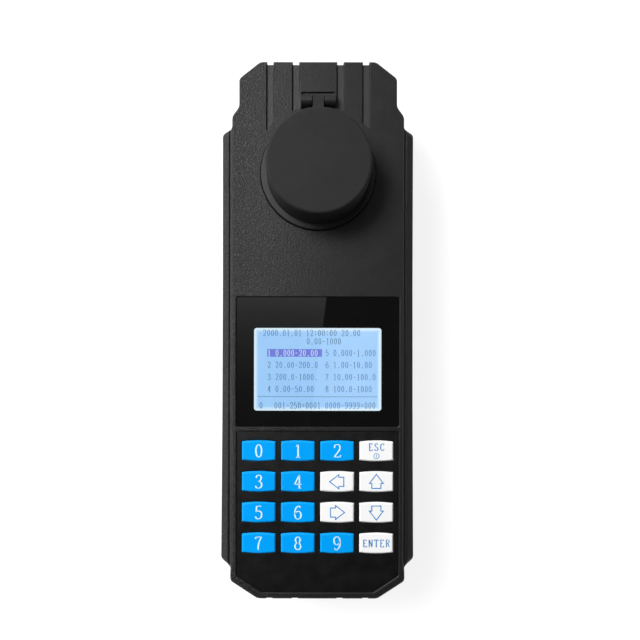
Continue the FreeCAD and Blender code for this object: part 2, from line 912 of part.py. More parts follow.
def make_cap():
    top = cap_foot_z + cap_height
    shoulder = top - cap_round
    side = cap_radius(shoulder)
    middle = cap_round * (1.0 - math.sqrt(0.5))
    inner_top = top - cap_wall
    foot_inner = vec(cap_base_r - cap_wall - cap_draft_wall, 0, cap_foot_z)
    foot_outer = vec(cap_base_r, 0, cap_foot_z)
    side_top = vec(side, 0, shoulder)
    crown_middle = vec(side - middle, 0, top - middle)
    crown_start = vec(side - cap_round, 0, top)
    roof_edge = vec(cap_radius(inner_top) - cap_wall, 0, inner_top)
    outline = [
        Part.LineSegment(foot_inner, foot_outer),
        Part.LineSegment(foot_outer, side_top),
        Part.Arc(side_top, crown_middle, crown_start),
        Part.LineSegment(crown_start, vec(0, 0, top)),
        Part.LineSegment(vec(0, 0, top), vec(0, 0, inner_top)),
        Part.LineSegment(vec(0, 0, inner_top), roof_edge),
        Part.LineSegment(roof_edge, foot_inner),
    ]
    cup = Part.Face(Part.Wire([line.toShape() for line in outline])).revolve(vec(0, 0, 0), vec(0, 0, 1), 360.0)
    cup.translate(vec(0, well_y, 0))
    arm_top = hinge_z + knuckle_r
    cap_back = well_y + cap_base_r
    arm = swept_x([
        (cap_back - arm_root, cap_foot_z),
        (hinge_y, cap_foot_z),
        (hinge_y, arm_top),
        (hinge_y - knuckle_r / 2.0, arm_top),
        (cap_back + arm_length, arm_top + arm_rise),
        (cap_back - arm_root, arm_top + arm_height),
    ], -knuckle_half, knuckle_half)
    solid = fused([cup, arm, rod_x(knuckle_r, knuckle_half, hinge_y, hinge_z)])
    return solid.cut(rod_x(pin_r + pin_run, knuckle_half + through, hinge_y, hinge_z))


def make_liner():
    top = cap_foot_z + cap_height - cap_wall
    return post(cap_radius(top) - cap_wall - liner_gap, 0, well_y, top - liner_thick, top)


def make_hinge_pin():
    return rod_x(pin_r, pocket_half - pin_end, hinge_y, hinge_z)


# Optics: the same diode and small board at each boss
def make_diode():
    # Domed body seated in the boss, with two leads that pass through the board
    dome_x = optic_reach - diode_length + diode_r
    dome = Part.makeSphere(diode_r, vec(dome_x, well_y, optic_z))
    barrel = radial_rod(diode_r, dome_x, optic_reach - dome_x)
    root_x = optic_reach - diode_r
    leads = []
    for side in (-1, 1):
        foot = vec(root_x, well_y + side * lead_half_pitch, optic_z)
        leads.append(rod(lead_r, foot, vec(1, 0, 0), diode_r + sensor_board_thick + lead_past_board))
    return fused([barrel, dome] + leads)


def make_sensor_board():
    half = sensor_board / 2.0
    board = box(optic_reach, optic_reach + sensor_board_thick, well_y - half, well_y + half,
                optic_z - half, optic_z + half)
    holes = []
    for side in (-1, 1):
        foot = vec(optic_reach - through, well_y + side * lead_half_pitch, optic_z)
        holes.append(rod(lead_r + lead_hole_gap, foot, vec(1, 0, 0), sensor_board_thick + 2.0 * through))
    return board.cut(group(holes))


# Display: clear window over a framed LCD on its own small board
def make_window():
    return plate(window_outline(-window_gap), window_bed_z, window_bed_z + window_thick, window_corner)


def make_lcd_bezel():
    x0, x1, y0, y1 = bezel_box()
    foot = bezel_top_z - bezel_height
    shell = box(x0, x1, y0, y1, foot, bezel_top_z)
    inside = box(x0 + bezel_wall, x1 - bezel_wall, y0 + bezel_wall, y1 - bezel_wall,
                 foot - through, bezel_top_z - bezel_lip)
    view = plate(rectangle(-lcd_half, lcd_half, lcd_foot, lcd_top), foot - through, bezel_top_z + through,
                 lcd_corner)
    return shell.cut(inside).cut(view)


def inside_bezel(z0, z1):
    x0, x1, y0, y1 = bezel_box()
    edge = bezel_wall + fit
    return box(x0 + edge, x1 - edge, y0 + edge, y1 - edge, z0, z1)


def make_lcd_board():
    x0, x1, y0, y1 = bezel_box()
    edge = lcd_board_margin
    return box(x0 - edge, x1 + edge, y0 - edge, y1 + edge, lcd_board_top - lcd_board_thick, lcd_board_top)


def make_lcd_spacers():
    x0, x1, y0, y1 = bezel_box()
    inset = spacer_r + spacer_in - lcd_board_margin
    foot = lcd_board_top - lcd_board_thick
    return group([post(spacer_r, x, y, board_top_z, foot)
                  for x in (x0 + inset, x1 - inset) for y in (y0 + inset, y1 - inset)])


# Keypad: panel, travelling keys and the switches under them
def key_wire(margin, z):
    # Straight sides, and a shallow outward arc along the top and the bottom
    x = key_half_x + margin
    side = key_side_half + margin
    crown = side + key_bulge
    corners = [vec(-x, side, z), vec(x, side, z), vec(x, -side, z), vec(-x, -side, z)]
    edges = [
        Part.Arc(corners[0], vec(0, crown, z), corners[1]).toShape(),
        Part.LineSegment(corners[1], corners[2]).toShape(),
        Part.Arc(corners[2], vec(0, -crown, z), corners[3]).toShape(),
        Part.LineSegment(corners[3], corners[0]).toShape(),
    ]
    return Part.Wire(edges)


def key_block(margin, z0, z1):
    return Part.Face(key_wire(margin, z0)).extrude(vec(0, 0, z1 - z0))


def make_key():
    # Bevelled top that stands above the panel, a flange under the panel, and a stem over the switch
    top = pad_top_z + key_rise
    under = pad_bed_z - key_float
    block = key_block(0.0, under - key_flange_thick, top - key_bevel)
    crown = Part.makeLoft([key_wire(0.0, top - key_bevel), key_wire(-key_bevel, top)], True, True)
    flange = key_block(key_flange, under - key_flange_thick, under)
    stem = post(key_stem_r, 0, 0, switch_top_z + key_travel + key_float, under - key_flange_thick)
    return fused([block, crown, flange, stem])


def make_keypad_panel():
    panel = plate(pad_outline(-pad_gap), pad_bed_z, pad_top_z, pad_corner)
    hole = key_block(key_gap, pad_bed_z - through, pad_top_z + through)
    return panel.cut(group([hole.translated(vec(x, y, 0)) for y in key_ys for x in key_xs]))


def make_switches():
    half = switch_side / 2.0
    base = box(-half, half, -half, half, board_top_z, board_top_z + switch_body)
    plunger = post(switch_plunger_r, 0, 0, board_top_z + switch_body, switch_top_z)
    switch = fused([base, plunger])
    return group([switch.translated(vec(x, y, 0)) for y in key_ys for x in key_xs])


# Main board and its parts
def make_main_board():
    points = [
        (board_half, board_head),
        (board_half, board_foot + board_corner),
        (board_half - board_corner, board_foot),
    ]
    board = plate(both_sides(points), board_foot_z, board_top_z)
    holes = [post(board_screw_r + board_hole_gap, x, y, board_foot_z - through, board_top_z + through)
             for x, y in board_post_places]
    return board.cut(group(holes))


def make_board_screws():
    return group([screw(place, board_foot_z, 1, board_screw_head_r, board_screw_head_h, board_screw_r,
                        board_screw_length) for place in board_post_places])


def chip(x, y, half):
    # Surface-mounted package with a row of leads on two sides
    pieces = [box(x - half, x + half, y - half, y + half, board_foot_z - chip_height, board_foot_z - chip_stand)]
    count = int(2.0 * half / lead_pitch) - 1
    for i in range(count):
        lead_x = x + (i - (count - 1) / 2.0) * lead_pitch
        pieces.append(box(lead_x - lead_half, lead_x + lead_half, y - half - lead_out, y + half + lead_out,
                          board_foot_z - lead_thick, board_foot_z))
    return fused(pieces)


def make_chips():
    return group([chip(x, board_head - down, half) for (x, down), half in zip(chip_places, chip_halves)])


def make_capacitors():
    return group([post(capacitor_r, x, board_head - down, board_foot_z - capacitor_height, board_foot_z)
                  for x, down in capacitor_places])


def make_connectors():
    sockets = []
    foot = board_foot_z - socket_height
    for x, down in socket_places:
        y = board_head - down
        block = box(x - socket_half_x, x + socket_half_x, y - socket_half_y, y + socket_half_y, foot, board_foot_z)
        inner_x = socket_half_x - socket_wall
        inner_y = socket_half_y - socket_wall
        mouth = box(x - inner_x, x + inner_x, y - inner_y, y + inner_y, foot - through, board_foot_z - socket_floor)
        sockets.append(block.cut(mouth))
    return group(sockets)


def make_buzzer():
    x, down = buzzer_place
    foot = board_foot_z - buzzer_height
    can = post(buzzer_r, x, board_head - down, foot, board_foot_z)
    return can.cut(post(buzzer_port_r, x, board_head - down, foot - through, foot + buzzer_port_deep))


# Cells and contacts of the battery bay, pointing by turns to the head and to the foot
def bay_cells():
    return [((i - 1.5) * aa_pitch, i % 2 == 0) for i in range(4)]


def make_cells():
    can = aa_length - nub_height
    solids = []
    for x, toward_head in bay_cells():
        if toward_head:
            can_y = bay_head - contact_plate - aa_length
            nub_y = can_y + can
        else:
            nub_y = bay_foot + contact_plate
            can_y = nub_y + nub_height
        body_rod = rod(aa_r, vec(x, can_y, cell_z), vec(0, 1, 0), can)
        nub = rod(nub_r, vec(x, nub_y, cell_z), vec(0, 1, 0), nub_height)
        solids.append(fused([body_rod, nub]))
    return group(solids)


def make_contact_plates():
    solids = []
    for x, toward_head in bay_cells():
        y = bay_head - contact_plate if toward_head else bay_foot
        solids.append(box(x - contact_half, x + contact_half, y, y + contact_plate,
                          cell_z - contact_half, cell_z + contact_half))
    return group(solids)


def make_contact_springs():
    # Bent strips that press on the flat end of each cell
    solids = []
    half = contact_half * spring_taper
    for x, toward_head in bay_cells():
        wall_y = bay_foot if toward_head else bay_head
        side = 1.0 if toward_head else -1.0
        profile = [
            (0.0, -contact_half),
            (spring_sheet, -contact_half),
            (spring_sheet, contact_half - spring_sheet),
            (spring_depth - spring_sheet, spring_nose),
            (spring_depth - spring_sheet, -spring_nose),
            (spring_tail, -contact_half * spring_taper),
            (spring_tail + spring_sheet, -contact_half * spring_taper),
            (spring_depth, -spring_nose),
            (spring_depth, spring_nose),
            (2.0 * spring_sheet, contact_half),
            (0.0, contact_half),
        ]
        placed = [(wall_y + side * out, cell_z + up) for out, up in profile]
        solids.append(swept_x(placed, x - half, x + half))
    return group(solids)


# Every piece of the meter
rear = rear_block()
parts["front_shell"] = make_front_shell()
parts["rear_shell"] = make_rear_shell(rear)
parts["battery_door"] = make_battery_door(rear)
parts["seam_gasket"] = make_gasket()
parts["rubber_feet"] = make_feet()
parts["case_screws"] = make_case_screws()
parts["cell_holder"] = make_cell_holder()
parts["holder_screws"] = make_holder_screws()
parts["cell_collar"] = make_collar()
parts["cell_seal_ring"] = make_seal_ring()
parts["cell_cap"] = make_cap()
parts["cap_liner"] = make_liner()
parts["hinge_pin"] = make_hinge_pin()
for diode_name, board_name, degrees in optics:
    parts[diode_name] = at_angle(make_diode(), degrees)
    parts[board_name] = at_angle(make_sensor_board(), degrees)
parts["display_window"] = make_window()
parts["lcd_bezel"] = make_lcd_bezel()
parts["lcd_glass"] = inside_bezel(bezel_top_z - bezel_lip - glass_thick, bezel_top_z - bezel_lip)
parts["lcd_backlight"] = inside_bezel(lcd_board_top, bezel_top_z - bezel_lip - glass_thick)
parts["lcd_board"] = make_lcd_board()
parts["lcd_spacers"] = make_lcd_spacers()
parts["keypad_panel"] = make_keypad_panel()
key = make_key()
for row, y in zip(key_names, key_ys):
    for name, x in zip(row, key_xs):
        parts[name] = key.translated(vec(x, y, 0))
parts["key_switches"] = make_switches()
parts["main_board"] = make_main_board()
parts["board_screws"] = make_board_screws()
parts["board_chips"] = make_chips()
parts["board_capacitors"] = make_capacitors()
parts["board_connectors"] = make_connectors()
parts["buzzer"] = make_buzzer()
parts["battery_cells"] = make_cells()
parts["contact_plates"] = make_contact_plates()
parts["contact_springs"] = make_contact_springs()

for name, shape in parts.items():
    shape.exportStep("parts/" + name + ".step")
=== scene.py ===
import bpy
import math
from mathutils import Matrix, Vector


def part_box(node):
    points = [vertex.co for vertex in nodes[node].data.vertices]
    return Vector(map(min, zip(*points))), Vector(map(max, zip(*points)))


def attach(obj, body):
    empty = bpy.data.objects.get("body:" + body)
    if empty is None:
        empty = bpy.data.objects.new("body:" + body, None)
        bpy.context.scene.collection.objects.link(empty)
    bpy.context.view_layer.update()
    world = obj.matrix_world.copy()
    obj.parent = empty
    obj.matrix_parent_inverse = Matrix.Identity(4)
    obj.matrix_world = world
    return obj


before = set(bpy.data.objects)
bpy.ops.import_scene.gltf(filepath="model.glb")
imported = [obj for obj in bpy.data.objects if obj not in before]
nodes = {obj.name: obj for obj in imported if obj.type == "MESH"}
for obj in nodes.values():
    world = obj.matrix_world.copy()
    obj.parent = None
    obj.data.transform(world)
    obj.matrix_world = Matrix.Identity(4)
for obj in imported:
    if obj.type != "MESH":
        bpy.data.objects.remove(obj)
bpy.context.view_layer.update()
MM = 0.001
scene = bpy.context.scene
scene.view_settings.view_transform = "Standard"


# Node graph helpers
NOISE_LOW, NOISE_HIGH = 0.3, 0.7  # where the middle part of a noise begins and ends
EDGE_FLAT, EDGE_SHARP = 0.995, 0.85  # agreement of the two normals on a flat and on an edge
FLOOR_NEAR = 0.0001  # how far a floor may be off its height
FLOOR_FACING = 0.95  # the least upward part of a floor's normal


class Graph:
    def __init__(self, owner, output="ShaderNodeOutputMaterial", coordinates="Object"):
        # An empty graph in a material or a world
        self.owner = owner
        owner.use_nodes = True
        self.tree = owner.node_tree
        self.tree.nodes.clear()
        self.out = self.tree.nodes.new(output)
        self.coord = self.tree.nodes.new("ShaderNodeTexCoord").outputs[coordinates]

    def node(self, kind, **values):
        # A new node; each value goes to its attribute or input of that name
        made = self.tree.nodes.new(kind)
        for key, value in values.items():
            if hasattr(made, key):
                setattr(made, key, value)
            else:
                made.inputs[key.replace("_", " ")].default_value = value
        return made

    def link(self, a, b):
        self.tree.links.new(a, b)

    def finish(self, shader):
        self.link(shader, self.out.inputs["Surface"])
        return self.owner

    def axes(self, vector=None):
        # X, Y and Z of a vector, or of the object's own coordinates
        made = self.node("ShaderNodeSeparateXYZ")
        self.link(self.coord if vector is None else vector, made.inputs[0])
        return made.outputs

    def noise(self, scale, detail, rough):
        made = self.node("ShaderNodeTexNoise", Scale=scale, Detail=detail, Roughness=rough)
        self.link(self.coord, made.inputs["Vector"])
        return made.outputs["Fac"]

    def ramp(self, value, stops):
        # Colours between two stops, each a place and a colour
        made = self.node("ShaderNodeValToRGB")
        for element, (place, colour) in zip(made.color_ramp.elements, stops):
            element.position = place
            element.color = (*colour, 1.0)
        self.link(value, made.inputs["Fac"])
        return made.outputs["Color"]

    def clouds(self, scale, detail, rough, dark, light):
        # Two colours that run into each other in soft clouds
        return self.ramp(self.noise(scale, detail, rough), [(NOISE_LOW, dark), (NOISE_HIGH, light)])

    def spread(self, value, low, high, out_low, out_high):
        # A value from one range carried over to another, and kept inside it
        made = self.node("ShaderNodeMapRange", From_Min=low, From_Max=high, To_Min=out_low, To_Max=out_high)
        self.link(value, made.inputs["Value"])
        return made.outputs["Result"]

    def math(self, operation, *values):
        made = self.node("ShaderNodeMath", operation=operation)
        for socket, value in zip(made.inputs, values):
            if isinstance(value, (int, float)):
                socket.default_value = value
            else:
                self.link(value, socket)
        return made.outputs["Value"]

    def apart(self, a, b):
        # Distance between two values
        return self.math("ABSOLUTE", self.math("SUBTRACT", a, b))

    def length(self, a, b):
        # Length of the flat vector with these two parts
        squares = [self.math("POWER", part, 2.0) for part in (a, b)]
        return self.math("SQRT", self.math("ADD", *squares))

    def mix(self, factor, base, colour):
        # The base where the factor is 0 and the colour where it is 1
        made = self.node("ShaderNodeMix", data_type="RGBA")
        self.link(factor, made.inputs[0])
        self.link(base, made.inputs[6])
        made.inputs[7].default_value = (*colour, 1.0)
        return made.outputs[2]

    def blend(self, factor, a, b):
        # Shader a where the factor is 0 and shader b where it is 1
        made = self.node("ShaderNodeMixShader")
        for socket, value in zip(made.inputs, (factor, a, b)):
            self.link(value, socket)
        return made.outputs[0]

    def add(self, a, b):
        # Both shaders together
        made = self.node("ShaderNodeAddShader")
        for socket, value in zip(made.inputs, (a, b)):
            self.link(value, socket)
        return made.outputs[0]

    def edges(self, radius):
        # The normal rounded off at edges, and a mask that is 1 along edges and 0 on flats
        bevel = self.node("ShaderNodeBevel", samples=4, Radius=radius)
        flat = self.node("ShaderNodeNewGeometry")
        dot = self.node("ShaderNodeVectorMath", operation="DOT_PRODUCT")
        self.link(bevel.outputs["Normal"], dot.inputs[0])
        self.link(flat.outputs["Normal"], dot.inputs[1])
        return bevel.outputs["Normal"], self.spread(dot.outputs["Value"], EDGE_FLAT, EDGE_SHARP, 0.0, 1.0)

    def level_floor(self, level):
        # 1 on the flat floors at one height, such as those of the grooves
        near = self.math("LESS_THAN", self.apart(self.axes()[2], level), FLOOR_NEAR)
        facing = self.axes(self.node("ShaderNodeNewGeometry").outputs["True Normal"])
        return self.math("MULTIPLY", near, self.math("GREATER_THAN", facing[2], FLOOR_FACING))

    def ring(self, centre, radius, width, above):
        # 1 in a thin ring round an upright axis, above one height
        place = self.axes()
        reach = self.length(*[self.math("SUBTRACT", place[i], centre[i]) for i in (0, 1)])
        near = self.spread(self.apart(reach, radius), width * 0.5, width, 1.0, 0.0)
        return self.math("MULTIPLY", near, self.math("GREATER_THAN", place[2], above))

    def below(self, level, blend):
        # 1 under one height, fading to 0 over a short blend above it
        return self.spread(self.axes()[2], level, level + blend, 1.0, 0.0)

    def across(self, low, high, least):
        # 1 at the low side, falling quickly to the least value at the high side
        fall = self.math("POWER", self.spread(self.axes()[0], low, high, 1.0, 0.0), 2.0)
        return self.spread(fall, 0.0, 1.0, least, 1.0)

    def inside(self, low, high):
        # 1 inside a box
        held = 1.0
        for place, middle, half in zip(self.axes(), centre_of(low, high), half_of(low, high)):
            held = self.math("MULTIPLY", self.math("LESS_THAN", self.apart(place, middle), half), held)
        return held

    def bump(self, height, depth, normal):
        made = self.node("ShaderNodeBump", Distance=depth, Strength=1.0)
        self.link(height, made.inputs["Height"])
        self.link(normal, made.inputs["Normal"])
        return made.outputs["Normal"]


def new_graph(name):
    # The graph of a new material
    return Graph(bpy.data.materials.new(name))


def centre_of(low, high):
    # Middle of a box, along each axis
    return [(a + b) / 2.0 for a, b in zip(low, high)]


def half_of(low, high):
    # Half the size of a box, along each axis
    return [(b - a) / 2.0 for a, b in zip(low, high)]


def tint(colour, factor):
    # The same colour made lighter or darker
    return tuple(min(1.0, part * factor) for part in colour)


# What every moulded or metal surface shares: its noises, as scale per metre, detail and roughness,
# the parts of them that count, and its tints against its own colour
CLOUD = (45.0, 3.0, 0.6)
WEAR_AND_HIGHLIGHT_PATCHES = (260.0, 3.0, 0.6)
SHEEN = (170.0, 4.0, 0.65)
GRAIN = (2.0, 0.6)  # detail and roughness alone, as the scale is the surface's own
# Pale flecks are painted glints of the light from the left: their noise, its scale against the grain's, and
# where they begin and are full
GLINT_FLECK = (1.0, 0.5)
GLINT_FLECK_SCALE = 1.2  # against the grain's
GLINT_FLECK_FROM, GLINT_FLECK_FULL = 0.54, 0.70
PATCHES_FROM, PATCHES_LEAST = 0.35, 0.2
GRAIN_SHEEN = 0.6  # what the grain adds to the gloss, as a part of its spread
# Tint of the painted glint flecks
GLINT_FLECK_TINT = 4.5
# Lightening of the hinge pocket, painted light against its shade
POCKET_PAINTED_LIGHT_TINT = 6.0
# Darkening low on the sides of the keys, painted shade, and its blend
FOOT_SHADE_TINT = 0.12
FOOT_SHADE_BLEND = 0.2 * MM
# Tints of the lightened edges, partly wear and partly painted highlight
WEAR_AND_HIGHLIGHT_TINT = 1.7
METAL_WEAR_AND_HIGHLIGHT_TINT = 1.15
COAT_ROUGH = 0.12
# Black of the painted shade ring round the collar
PAINTED_SHADE_BLACK = (0.0015, 0.0015, 0.0015, 1.0)


def surface(name, colour, rough, metallic=0.0, grain=3500.0, depth=0.00002, mottle=0.06, spread=0.06,
            edge_radius=0.0003, wear_and_highlight=0.35, specular=0.5, coat=0.0, glint_flecks=0.0, wear_and_highlight_colour=None, lit_floors=(),
            glint_fade=None, seam=None, lit_pocket=None, shaded_foot=None):
    # Moulded or metal surface: cloudy colour, fine grain in the relief and gloss, and edges lightened partly
    # as wear and partly as painted highlight.
    # It may have pale flecks of painted glint, floors and a pocket lightened as painted light, and a ring and
    # the foot of its sides darkened as painted shade.
    g = new_graph(name)
    fine = g.noise(grain, *GRAIN)
    fall = g.across(*glint_fade) if glint_fade else 1.0
    base = g.clouds(*CLOUD, tint(colour, 1.0 - mottle), tint(colour, 1.0 + mottle))
    # Painted glint: pale flecks that fade from left to right
    if glint_flecks > 0.0:
        glint_speck = g.spread(g.noise(grain * GLINT_FLECK_SCALE, *GLINT_FLECK), GLINT_FLECK_FROM, GLINT_FLECK_FULL, 0.0, glint_flecks)
        base = g.mix(g.math("MULTIPLY", glint_speck, fall), base, tint(colour, GLINT_FLECK_TINT))
    # Painted light: the floors of the grooves and gutters lightened, as if lit and glossy
    for level, factor in lit_floors:
        base = g.mix(g.level_floor(level), base, tint(colour, factor))
    # Painted light: the hinge pocket lightened against its shade
    if lit_pocket is not None:
        base = g.mix(g.inside(*lit_pocket), base, tint(colour, POCKET_PAINTED_LIGHT_TINT))
    normal, rim = g.edges(edge_radius)
    # Edges lightened in patches, partly as wear and partly as painted highlight
    wear_and_highlight_mask = g.math("MULTIPLY", rim, g.spread(g.noise(*WEAR_AND_HIGHLIGHT_PATCHES), PATCHES_FROM, NOISE_HIGH, PATCHES_LEAST, wear_and_highlight))
    base = g.mix(wear_and_highlight_mask, base, wear_and_highlight_colour or tint(colour, WEAR_AND_HIGHLIGHT_TINT if metallic < 0.5 else METAL_WEAR_AND_HIGHLIGHT_TINT))
    # Painted shade low on the sides
    if shaded_foot is not None:
        base = g.mix(g.below(shaded_foot, FOOT_SHADE_BLEND), base, tint(colour, FOOT_SHADE_TINT))
    gloss = g.spread(g.noise(*SHEEN), NOISE_LOW, NOISE_HIGH, rough - spread, rough + spread)
    extra = spread * GRAIN_SHEEN
    gloss = g.math("ADD", gloss, g.spread(fine, NOISE_LOW, NOISE_HIGH, -extra, extra))
    shader = g.node("ShaderNodeBsdfPrincipled", Metallic=metallic, Specular_IOR_Level=specular,
                    Coat_Weight=coat, Coat_Roughness=COAT_ROUGH)
    g.link(base, shader.inputs["Base Color"])
    g.link(gloss, shader.inputs["Roughness"])
    g.link(g.bump(g.math("MULTIPLY", fine, fall), depth, normal), shader.inputs["Normal"])
    closed = shader.outputs["BSDF"]
    # Painted shade: a black ring round the collar
    if seam is not None:
        shade = g.node("ShaderNodeBsdfPrincipled", Base_Color=PAINTED_SHADE_BLACK, Roughness=1.0,
                       Specular_IOR_Level=0.0)
        closed = g.blend(g.ring(*seam), closed, shade.outputs["BSDF"])
    return g.finish(closed)


def paint(node, material):
    for slot in nodes[node].material_slots:
        slot.material = material


# Places on the case that its material marks, measured from the frame.
# The floors of the grooves and gutters are lightened as painted light, and the grain's relief and its pale
# flecks of painted glint fade from left to right, as the light from the left falls.
window_sunk = 0.3 * MM
groove_depth = 1.1 * MM
# Painted light on the groove and gutter floors, as factors on the case's colour
groove_painted_light = 3.2
gutter_depth = 3.2 * MM
gutter_painted_light = 6.0
deck_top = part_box("display_window")[1][2] + window_sunk
painted_light_floors = ((deck_top - groove_depth, groove_painted_light), (deck_top - gutter_depth, gutter_painted_light))
# Fade from left to right of the painted glint flecks and of the grain's relief
glint_fade_across = (-38.0 * MM, 30.0 * MM, 0.08)

# The pockets beside the hinge pin, lightened as painted light against their shade
pocket_side = 1.5 * MM
pocket_foot = 6.0 * MM
pocket_head = 3.6 * MM
pocket_depth = 7.0 * MM
pocket_top = deck_top - 0.15 * MM
pin_low, pin_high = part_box("hinge_pin")
hinge_pocket = ((pin_low[0] - pocket_side, pin_low[1] - pocket_foot, pin_low[2] - pocket_depth),
                (pin_high[0] + pocket_side, pin_high[1] + pocket_head, pocket_top))

# Painted shade: a dark ring on the case round the collar, where the gap's shadow falls
shade_ring_gap = 0.1 * MM
shade_ring_width = 0.38 * MM
shade_ring_depth = 1.5 * MM
collar_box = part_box("cell_collar")
collar_painted_shade = (centre_of(*collar_box), half_of(*collar_box)[0] + shade_ring_gap, shade_ring_width, deck_top - shade_ring_depth)

# Painted shade on the foot of each key's side, below this height
key_rise = 0.75 * MM
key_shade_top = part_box("key_0")[1][2] - key_rise

# Materials
shell = surface("case_plastic", (0.0115, 0.0115, 0.0118), 0.42, grain=1500.0, depth=0.00045, glint_flecks=1.0,
                spread=0.05, specular=0.34, lit_floors=painted_light_floors, glint_fade=glint_fade_across, seam=collar_painted_shade,
                lit_pocket=hinge_pocket)
cap = surface("cap_plastic", (0.019, 0.019, 0.0194), 0.66, grain=3200.0, depth=0.00003, mottle=0.12,
              spread=0.04, specular=0.2, wear_and_highlight=0.2)
# The collar's edges are strongly lightened, partly as wear and partly as painted highlight
collar = surface("collar_plastic", (0.0125, 0.0125, 0.013), 0.42, grain=3200.0, depth=0.00002, wear_and_highlight=0.9,
                 specular=0.45)
panel = surface("keypad_plastic", (0.0015, 0.0015, 0.00155), 0.4, grain=4200.0, depth=0.00001, wear_and_highlight=0.15,
                specular=0.5)
rubber = surface("rubber", (0.024, 0.024, 0.024), 0.75, grain=2600.0, depth=0.00004, wear_and_highlight=0.2)
black = surface("black_plastic", (0.012, 0.012, 0.012), 0.6, grain=3800.0, depth=0.00002)
foam = surface("liner_foam", (0.015, 0.015, 0.015), 0.95, grain=1700.0, depth=0.00015, wear_and_highlight=0.0)
steel = surface("screw_steel", (0.55, 0.55, 0.56), 0.3, metallic=1.0, grain=2600.0, depth=0.000004)
brass = surface("spacer_brass", (0.72, 0.52, 0.22), 0.28, metallic=1.0, grain=2600.0, depth=0.000004)
nickel = surface("contact_nickel", (0.68, 0.66, 0.62), 0.22, metallic=1.0, grain=2000.0, depth=0.000004)
dark_steel = surface("pin_steel", (0.05, 0.05, 0.05), 0.35, metallic=1.0, grain=2600.0, depth=0.000004)
bezel = surface("lcd_frame", (0.012, 0.012, 0.0125), 0.35, metallic=1.0, grain=2600.0, depth=0.000004)
mask = surface("board_mask", (0.01, 0.12, 0.045), 0.3, grain=900.0, depth=0.00001, mottle=0.12)
chip = surface("chip_resin", (0.02, 0.02, 0.021), 0.55, grain=5200.0, depth=0.00001)
can = surface("capacitor_can", (0.75, 0.75, 0.77), 0.25, metallic=1.0)
nylon = surface("connector_nylon", (0.8, 0.76, 0.66), 0.5, grain=3800.0, depth=0.000008)
jacket = surface("cell_jacket", (0.03, 0.034, 0.04), 0.25, grain=1200.0, depth=0.000006, coat=0.4)
lamp_resin = surface("lamp_resin", (0.12, 0.07, 0.2), 0.1, grain=900.0, depth=0.000004, coat=0.6)
# The blue keys' edges are lightened as painted highlight on their bevels
blue = surface("key_blue", (0.0001, 0.365, 0.97), 0.45, grain=3600.0, depth=0.000008, mottle=0.02, wear_and_highlight=1.0,
               edge_radius=0.0007, wear_and_highlight_colour=(0.05, 0.50, 0.97), specular=0.06, shaded_foot=key_shade_top)
white = surface("key_white", (0.97, 0.97, 0.97), 0.45, grain=3600.0, depth=0.000008, mottle=0.01, wear_and_highlight=0.1,
                specular=0.12, shaded_foot=key_shade_top)


def window_material():
    # Clear over the display, printed black from behind everywhere else
    g = new_graph("window_pane")
    beyond = []
    for place, middle, half in zip(g.axes(), centre_of(lcd_low, lcd_high), half_of(lcd_low, lcd_high)):
        past = g.math("SUBTRACT", g.apart(place, middle), half - clear_corner + clear_margin)
        beyond.append(g.math("MAXIMUM", past, 0.0))
    clear = g.math("LESS_THAN", g.length(*beyond), clear_corner)
    glass = g.node("ShaderNodeBsdfPrincipled", Base_Color=(1, 1, 1, 1), Transmission_Weight=1.0,
                   Roughness=0.0, IOR=1.49)
    border = g.node("ShaderNodeBsdfPrincipled")
    g.link(g.clouds(*haze, (0.0030, 0.0030, 0.0032), (0.0042, 0.0042, 0.0045)), border.inputs["Base Color"])
    g.link(g.spread(g.noise(*smear), 0.35, 0.75, *border_rough), border.inputs["Roughness"])
    return g.finish(g.blend(clear, border.outputs[0], glass.outputs[0]))


def lcd_material():
    # Lit display: pale blue, brighter along its rim, with the fine dot grid of the glass
    g = new_graph("lcd_face")
    places = g.axes()
    away = []
    for place, middle, half in zip(places, centre_of(lcd_low, lcd_high), half_of(lcd_low, lcd_high)):
        away.append(g.math("SUBTRACT", half, g.apart(place, middle)))
    rim = g.spread(g.math("MINIMUM", *away), *lcd_rim, 1.0, 0.0)
    body = g.clouds(*lcd_cloud, lcd_blue, lcd_pale_blue)
    lit = g.mix(rim, body, lcd_rim_colour)
    cells = []
    for i in (0, 1):
        wave = g.math("FRACT", g.math("MULTIPLY", places[i], 1.0 / dot_pitch))
        cells.append(g.math("LESS_THAN", wave, dot_gap))
    lit = g.mix(g.math("MULTIPLY", g.math("MAXIMUM", *cells), grid_strength), lit, grid_colour)
    glow = g.node("ShaderNodeEmission", Strength=0.97)
    g.link(lit, glow.inputs["Color"])
    gloss = g.node("ShaderNodeBsdfPrincipled", Base_Color=(0.02, 0.03, 0.05, 1), Roughness=0.25)
    return g.finish(g.add(glow.outputs[0], gloss.outputs[0]))


# Display and window: the lit area inside its frame, and the window's clear area and print
bezel_side = 5.0 * MM
bezel_end = 5.2 * MM
clear_corner = 1.4 * MM
clear_margin = 0.25 * MM
haze = (60.0, 3.0, 0.6)
smear = (420.0, 4.0, 0.7)
border_rough = (0.006, 0.022)

# Glow of the display: its colours, its bright rim, and its dots with the gaps between them
lcd_cloud = (55.0, 2.0, 0.5)
lcd_blue = (0.32, 0.60, 0.97)
lcd_pale_blue = (0.36, 0.65, 1.0)
lcd_rim = (0.6 * MM, 1.9 * MM)
lcd_rim_colour = (0.72, 0.90, 1.0)
dot_pitch = 0.2334 * MM
dot_gap = 0.12
grid_strength = 0.10
grid_colour = (0.12, 0.22, 0.5)

bezel_low, bezel_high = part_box("lcd_bezel")
lcd_low = (bezel_low[0] + bezel_side, bezel_low[1] + bezel_end)
lcd_high = (bezel_high[0] - bezel_side, bezel_high[1] - bezel_end)
pane = window_material()
lcd = lcd_material()

